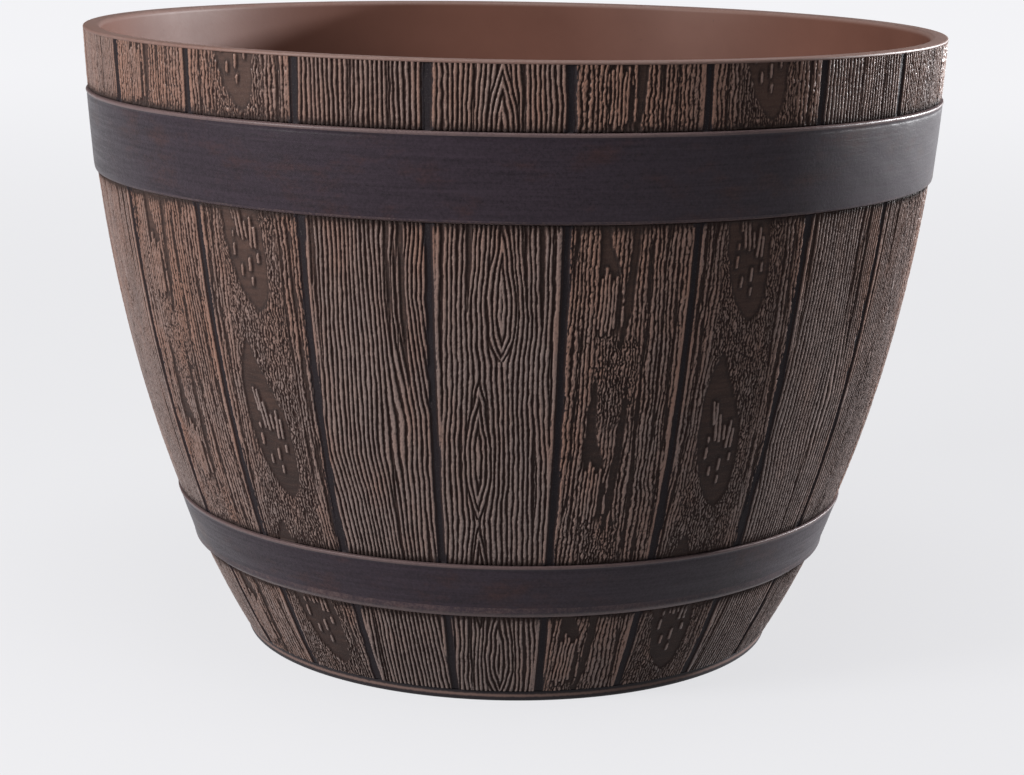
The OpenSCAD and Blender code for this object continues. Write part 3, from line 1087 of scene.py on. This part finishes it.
class PLANTER_OT_turn_tub(bpy.types.Operator):
    """Turns the rim, the inside, the floor with its holes and the foot, as one moulding"""

    bl_idname = "planter.turn_tub"
    bl_label = "Turn tub"

    def execute(self, context):
        tub = values_of("tub")
        form = bmesh.new()
        rings = [
            circle(form, radius * MM, height * MM, TUB_SEGMENTS)
            for radius, height in tub_profile(tub, values_of("staves").relief)
        ]
        bridge(form, rings, turned_over=True)
        self.floor(form, tub, rings[0], rings[-1])
        for face in form.faces:
            face.smooth = True
        form.normal_update()
        piece = form_piece("moulding", form)
        piece.data.set_sharp_from_angle(angle=math.radians(TUB_CREASE))
        dress(piece, "tub", "tub_plastic", smooth_plastic, "planter_shell")
        return {"FINISHED"}

    @staticmethod
    def floor(form, tub, top_ring, low_ring):
        """Fills the floor's two faces round the drain holes, and lines the holes."""
        low = tub.floor_lift * MM
        top = low + tub.floor_thick * MM
        chamfer = HOLE_CHAMFER * MM
        levels = ((top, chamfer), (top - chamfer, 0.0), (low + chamfer, 0.0), (low, chamfer))
        upper_loops, lower_loops = [top_ring], [low_ring]
        for name in PLUGS:
            circles = [
                circle(form, tub.hole_radius * MM + wider, z, HOLE_SEGMENTS, middle(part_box(name)))
                for z, wider in levels
            ]
            bridge(form, circles)
            upper_loops.append(circles[0])
            lower_loops.append(circles[-1])
        for loops, up in ((upper_loops, 1), (lower_loops, -1)):
            edges = []
            for loop in loops:
                for a, b in zip(loop, loop[1:] + loop[:1]):
                    edges.append(form.edges.get((a, b)) or form.edges.new((a, b)))
            filled = bmesh.ops.triangle_fill(form, edges=edges, use_beauty=True, normal=(0, 0, up))
            for face in [f for f in filled["geom"] if isinstance(f, bmesh.types.BMFace)]:
                face.normal_update()
                if face.normal.z * up < 0:
                    face.normal_flip()


# Depths below a band's upper edge, in mm: where it rolls out, where a crease lies under the roll, and
# how far down the edge is rubbed and the points lie close together
ROLL_DROP = 0.9
CREASE_DROP = 2.4
CREASE_DEPTH = 0.12
RUBBED_STRIP = 1.4
ROLLED_STRIP = 3.6
# Lengths into which a band is cut on the bake's map
MAP_FOLDS = 8


def band_outline(tub, bands, relief, low, high, flare, bevel):
    """Outline of a band, as (radius, height, edge) points, edge being 1 on its rubbed edges."""
    wall = partial(wall_radius, tub)

    def bump(way, middle):
        return math.exp(-(((way - middle) / 0.6) ** 2))

    def face(z):
        down = high - z
        lift = bands.proud + flare * down / (high - low - bevel)
        return wall(z) + lift + bands.roll * bump(down, ROLL_DROP) - CREASE_DEPTH * bump(down, CREASE_DROP)

    def rubbed(edge, points):
        return [(*point, edge) for point in points]

    rounding = 0.5
    crown = high - rounding
    bend = low + bevel
    above = bend + 0.6
    worn = high - RUBBED_STRIP
    plain = high - ROLLED_STRIP
    over = face(crown)
    below = face(bend) - 0.35 * flare
    flared = rounded((face(above), above), (face(bend), bend), (below, low + bevel * 0.55), 5)
    return [
        *rubbed(1.0, rounded((face(high) - 2 * rounding, high), (over, high), (over, crown))),
        *rubbed(1.0, traced(face, crown, worn, 4)[1:]),
        *rubbed(0.0, traced(face, worn, plain, 6)[1:]),
        *rubbed(0.0, traced(face, plain, above, 12)[1:]),
        *rubbed(0.7, flared[1:]),
        *rubbed(1.0, rounded((wall(low) + 0.25, low + 0.3), (wall(low), low), (wall(low) - 0.4, low), 4)),
        *rubbed(0.0, traced(lambda z: wall(z) - relief + bands.gap, low, high, 5)),
    ]


def folded_map(count):
    """Places on the map for a band cut in equal lengths, laid one above the other."""
    step = BAND_SEGMENTS // MAP_FOLDS
    column = np.arange(BAND_SEGMENTS)
    fold = column // step
    left = (column % step) / step
    right = left + 1 / step
    low = (np.arange(count) / count)[:, None]
    high = low + 1 / count
    place = np.empty((count, BAND_SEGMENTS, 4, 2))
    for corner, (side, level) in enumerate(((left, low), (left, high), (right, high), (right, low))):
        place[..., corner, 0] = 0.01 + 0.98 * side
        place[..., corner, 1] = (fold + 0.03 + 0.94 * level) / MAP_FOLDS
    return place.reshape(-1, 4, 2)


class PLANTER_OT_seat_bands(bpy.types.Operator):
    """Makes the two bands, each a closed ring in its seat"""

    bl_idname = "planter.seat_bands"
    bl_label = "Seat bands"

    def execute(self, context):
        bands = values_of("bands")
        self.band("upper_band", "upper_hoop", UPPER, bands.upper_flare, bands.upper_bevel)
        self.band("lower_band", "lower_hoop", LOWER, bands.lower_flare, bands.lower_bevel)
        return {"FINISHED"}

    @staticmethod
    def band(name, node, box, flare, bevel):
        """A closed ring with wandering edges and shallow dents on its face."""
        tub, bands = values_of("tub"), values_of("bands")
        low, high = box[0][2] / MM, box[1][2] / MM
        outline = np.array(band_outline(tub, bands, values_of("staves").relief, low, high, flare, bevel))
        turn = np.arange(BAND_SEGMENTS) * 2 * math.pi / BAND_SEGMENTS
        radius, height, edge = (np.repeat(part[:, None], BAND_SEGMENTS, 1) for part in outline.T)
        x, y = radius * np.cos(turn), radius * np.sin(turn)
        front = outline[:, :1] > wall_radius(tub, outline[:, 1:2]) - 0.3
        seed = int(low)
        dents = 0.09 * cloud(x + 2 * height, y, 17, 17, seed)
        dents = dents + 0.05 * cloud(x, y + 3 * height, 6, 6, seed + 1)
        radius = radius + front * dents
        to_top = np.exp(-(((high - height) / 2.5) ** 2))
        to_low = np.exp(-(((height - low) / 2.0) ** 2))
        sink = to_top * (cloud(x, y, 34, 34, seed + 2) - 1)
        lift = to_low * (cloud(x, y, 29, 29, seed + 3) + 1)
        height = height + front * bands.wave * (sink + lift) * 0.5
        points = turned(radius, turn, height).reshape(-1, 3)
        index = np.pad(np.arange(len(points)).reshape(radius.shape), ((0, 1), (0, 1)), mode="wrap")
        faces = quads(index)[:, [0, 3, 2, 1]]
        piece = mesh_piece(name, points, [(faces, folded_map(len(outline)))], [True])
        store(piece.data, "edge", edge)
        piece.data.set_sharp_from_angle(angle=math.radians(BAND_CREASE))
        dress(piece, "tub", "band_finish", band_paint, node)


class PLANTER_OT_fit_plugs(bpy.types.Operator):
    """Fits a rubber plug in each drain hole"""

    bl_idname = "planter.fit_plugs"
    bl_label = "Fit plugs"

    def execute(self, context):
        for number, node in enumerate(PLUGS, 1):
            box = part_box(node)
            piece = self.body(f"plug_stopper_{number}", box[0][2] / MM, box[1][2] / MM)
            piece.data.transform(Matrix.Translation((*middle(box), 0)))
            dress(piece, f"plug_{number}", "plug_rubber", plug_rubber, node)
        return {"FINISHED"}

    def body(self, name, low, high):
        """A stopper round the Z axis: a head, a hollow stem and a grip, joined in one skin."""
        plugs, tub = values_of("plugs"), values_of("tub")
        seat = tub.floor_lift + tub.floor_thick
        head = seat + plugs.head_thick
        stem = tub.hole_radius - plugs.gap
        bore = stem - plugs.stem_wall
        rim = plugs.head_radius
        floor_low = tub.floor_lift
        inside = seat - plugs.stem_wall
        dish = head - 0.25
        waist = stem - 0.3
        profile = [
            (0.0, dish),
            (rim * 0.62, dish),
            (rim * 0.72, head),
            *rounded((rim - 0.8, head), (rim, head), (rim, head - 0.9)),
            *rounded((rim, seat + 0.4), (rim, seat), (rim - 0.4, seat), 3),
            (stem + 0.25, seat),
            (stem, seat - 0.3),
            (stem, floor_low + 0.4),
            (waist, floor_low),
            (waist, floor_low - 0.5),
            (stem, floor_low - 0.9),
            (stem, low + plugs.taper),
            (stem - plugs.taper + 0.2, low + 0.2),
            (stem - plugs.taper, low),
            (bore + 0.3, low),
            (bore, low + 0.3),
            (bore, inside - 0.6),
            (bore - 0.6, inside),
            (0.0, inside),
        ]
        form = bmesh.new()
        points = [form.verts.new((radius * MM, 0, height * MM)) for radius, height in profile]
        edges = [form.edges.new(pair) for pair in zip(points, points[1:])]
        around = {"axis": (0, 0, 1), "cent": (0, 0, 0), "angle": 2 * math.pi, "steps": PLUG_SEGMENTS}
        bmesh.ops.spin(form, geom=points + edges, **around)
        bmesh.ops.remove_doubles(form, verts=form.verts, dist=0.02 * MM)
        bmesh.ops.recalc_face_normals(form, faces=form.faces)
        piece = form_piece(name, form)
        grip = form_piece(name + "_grip", self.grip(plugs, head, high))
        union = piece.modifiers.new("union", "BOOLEAN")
        union.operation = "UNION"
        union.solver = "EXACT"
        union.object = grip
        whole = bpy.data.meshes.new_from_object(piece.evaluated_get(bpy.context.evaluated_depsgraph_get()))
        if not whole.polygons:
            raise RuntimeError(f"{name}: the head and the grip didn't join")
        piece.modifiers.clear()
        piece.data = whole
        bpy.data.objects.remove(grip)
        whole.materials.clear()
        whole.shade_smooth()
        whole.set_sharp_from_angle(angle=math.radians(PLUG_CREASE))
        return piece

    @staticmethod
    def grip(plugs, head, high):
        """An upright tab with a round top, rounded edges and a dished thumb rest on each face."""
        radius = high - head
        half = plugs.grip_thick / 2
        levels = [(2.3, half - 0.45), (1.7, half), (0.8, half), (0.25, half - 0.25), (0.0, half - 0.8)]
        levels += [(inset, -side) for inset, side in reversed(levels)]
        form = bmesh.new()
        loops = []
        for inset, side in levels:
            reach = radius - inset
            is_dished = inset > 1
            start = math.asin(1.2 / reach) if is_dished else 0
            turns = np.linspace(start, math.pi - start, GRIP_POINTS)
            arc = [(math.cos(t) * reach, head + math.sin(t) * reach) for t in turns]
            foot = head + 0.7 if is_dished else head - 0.9
            outline = [(arc[0][0], foot), *arc, (arc[-1][0], foot)]
            loops.append([form.verts.new((x * MM, side * MM, z * MM)) for x, z in outline])
        bridge(form, loops)
        form.faces.new(loops[0])
        form.faces.new(loops[-1])
        bmesh.ops.recalc_face_normals(form, faces=form.faces)
        return form


# The camera, fitted to the photo: its place in metres, how far it is turned down, to the right and
# rolled in radians, and its lens in mm
CAMERA_PLACE = (0, -1.1109, 0.3553)
CAMERA_TURNS = (0.2157, 0.0008, 0.0159)
CAMERA_LENS = 84.73
# Point that the lamps face
LIT_POINT = Vector((0, 0, 0.14))
# Each lamp's name, place, size, power and colour
LAMPS = (
    ("key", (-1.35, -0.85, 0.75), 0.5, 28, (1.0, 0.985, 0.97)),
    ("rim", (1.4, 0.76, 0.48), 0.14, 52, (0.97, 0.98, 1.0)),
    ("fill", (1.1, -1.3, 1.0), 1.2, 3.5, (1.0, 1.0, 1.0)),
    ("top", (0.0, -0.35, 1.7), 0.8, 15, (1.0, 1.0, 1.0)),
)
# Half the width of the floor in metres, and how pale it is in light that bounces and where it is seen
FLOOR_REACH = 60
FLOOR_SHADES = (0.36, 0.44)


class PLANTER_OT_set_stage(bpy.types.Operator):
    """Sets the camera, the lamps, the world and the floor"""

    bl_idname = "planter.set_stage"
    bl_label = "Set stage"

    def execute(self, context):
        self.camera(context)
        self.lamps()
        self.world(context)
        self.floor()
        return {"FINISHED"}

    @staticmethod
    def camera(context):
        lens = bpy.data.cameras.new("camera")
        lens.sensor_width = 36
        lens.lens = CAMERA_LENS
        lens.clip_end = 50
        down, turn, roll = CAMERA_TURNS
        ahead = Vector((math.sin(turn) * math.cos(down), math.cos(turn) * math.cos(down), -math.sin(down)))
        level = Vector((math.cos(turn), -math.sin(turn), 0))
        upright = level.cross(ahead)
        right = math.cos(roll) * level + math.sin(roll) * upright
        up = math.cos(roll) * upright - math.sin(roll) * level
        facing = Matrix((right, up, -ahead)).transposed().to_4x4()
        camera = add_object("camera", lens)
        camera.matrix_world = Matrix.Translation(CAMERA_PLACE) @ facing
        context.scene.camera = camera

    @staticmethod
    def lamps():
        for name, place, size, power, colour in LAMPS:
            light = bpy.data.lights.new(name, "AREA")
            light.shape = "SQUARE"
            light.size = size
            light.energy = power
            light.color = colour
            lamp = add_object(name, light)
            lamp.location = place
            lamp.rotation_euler = (LIT_POINT - Vector(place)).to_track_quat("-Z", "Y").to_euler()

    @staticmethod
    def world(context):
        world = bpy.data.worlds.new("studio")
        world.use_nodes = True
        background = world.node_tree.nodes["Background"]
        background.inputs["Color"].default_value = (0.96, 0.98, 1.0, 1.0)
        background.inputs["Strength"].default_value = 0.07
        context.scene.world = world

    @staticmethod
    def floor():
        form = bmesh.new()
        bmesh.ops.create_grid(form, x_segments=1, y_segments=1, size=FLOOR_REACH)
        floor = form_piece("studio_floor", form)
        # The floor shines evenly where it is seen, more so far back, and still takes a part of the shadow
        shop = Workshop("studio_floor")
        colour = values_of("paint").floor
        back = shop.way("Y").step(-0.2, 3.0)
        dim, lit = (
            shop.node("ShaderNodeBsdfDiffuse", {}, Color=(shade, shade, shade * 1.02), out="BSDF")
            for shade in FLOOR_SHADES
        )
        even = shop.node("ShaderNodeEmission", {}, Color=colour, Strength=1.0, out="Emission")
        camera, glossy, through = (
            shop.node("ShaderNodeLightPath", {}, out=f"Is {kind} Ray")
            for kind in ("Camera", "Glossy", "Transmission")
        )
        shown = shop.node("ShaderNodeMixShader", {}, back * 0.17 + 0.75, lit, even, out="Shader")
        seen = camera + glossy + through
        whole = shop.node("ShaderNodeMixShader", {}, seen, dim, shown, out="Shader")
        floor.data.materials.append(shop.finish(whole))
        # The low lamp behind would leave a bright patch beside the tub
        unlit = bpy.data.collections.new("unlit_by_rim_lamp")
        unlit.objects.link(floor)
        unlit.collection_objects[0].light_linking.link_state = "EXCLUDE"
        bpy.data.objects["rim"].light_linking.receiver_collection = unlit


class PLANTER_PT_sidebar(bpy.types.Panel):
    """Sizes, colours and steps of the planter"""

    bl_idname = "PLANTER_PT_sidebar"
    bl_label = "Half-barrel planter"
    bl_space_type = "VIEW_3D"
    bl_region_type = "UI"
    bl_category = "Planter"

    def draw(self, context):
        for key in GROUPS:
            group = getattr(context.scene, key)
            box = self.layout.box()
            box.label(text=group.bl_rna.description)
            for name in group.__annotations__:
                box.prop(group, name)
        for operator in STEPS:
            self.layout.operator(operator.bl_idname)


GROUPS = {
    "planter_tub": PlanterTub,
    "planter_staves": PlanterStaves,
    "planter_bands": PlanterBands,
    "planter_plugs": PlanterPlugs,
    "planter_paint": PlanterPaint,
}
STEPS = (
    PLANTER_OT_set_stage,
    PLANTER_OT_carve_staves,
    PLANTER_OT_turn_tub,
    PLANTER_OT_seat_bands,
    PLANTER_OT_fit_plugs,
)


def register():
    for group in GROUPS.values():
        bpy.utils.register_class(group)
    for key, group in GROUPS.items():
        setattr(bpy.types.Scene, key, bpy.props.PointerProperty(type=group))
    for cls in (*STEPS, PLANTER_PT_sidebar):
        bpy.utils.register_class(cls)


def unregister():
    for cls in (PLANTER_PT_sidebar, *reversed(STEPS)):
        bpy.utils.unregister_class(cls)
    for key in GROUPS:
        delattr(bpy.types.Scene, key)
    for group in GROUPS.values():
        bpy.utils.unregister_class(group)


def plain(box):
    """A box as plain lists of numbers."""
    return [[float(v) for v in corner] for corner in box]


def main():
    register()
    bpy.context.scene.view_settings.view_transform = "Standard"
    bpy.ops.planter.set_stage()
    bpy.ops.planter.carve_staves()
    bpy.ops.planter.turn_tub()
    bpy.ops.planter.seat_bands()
    bpy.ops.planter.fit_plugs()


if __name__ == "__main__":
    main()
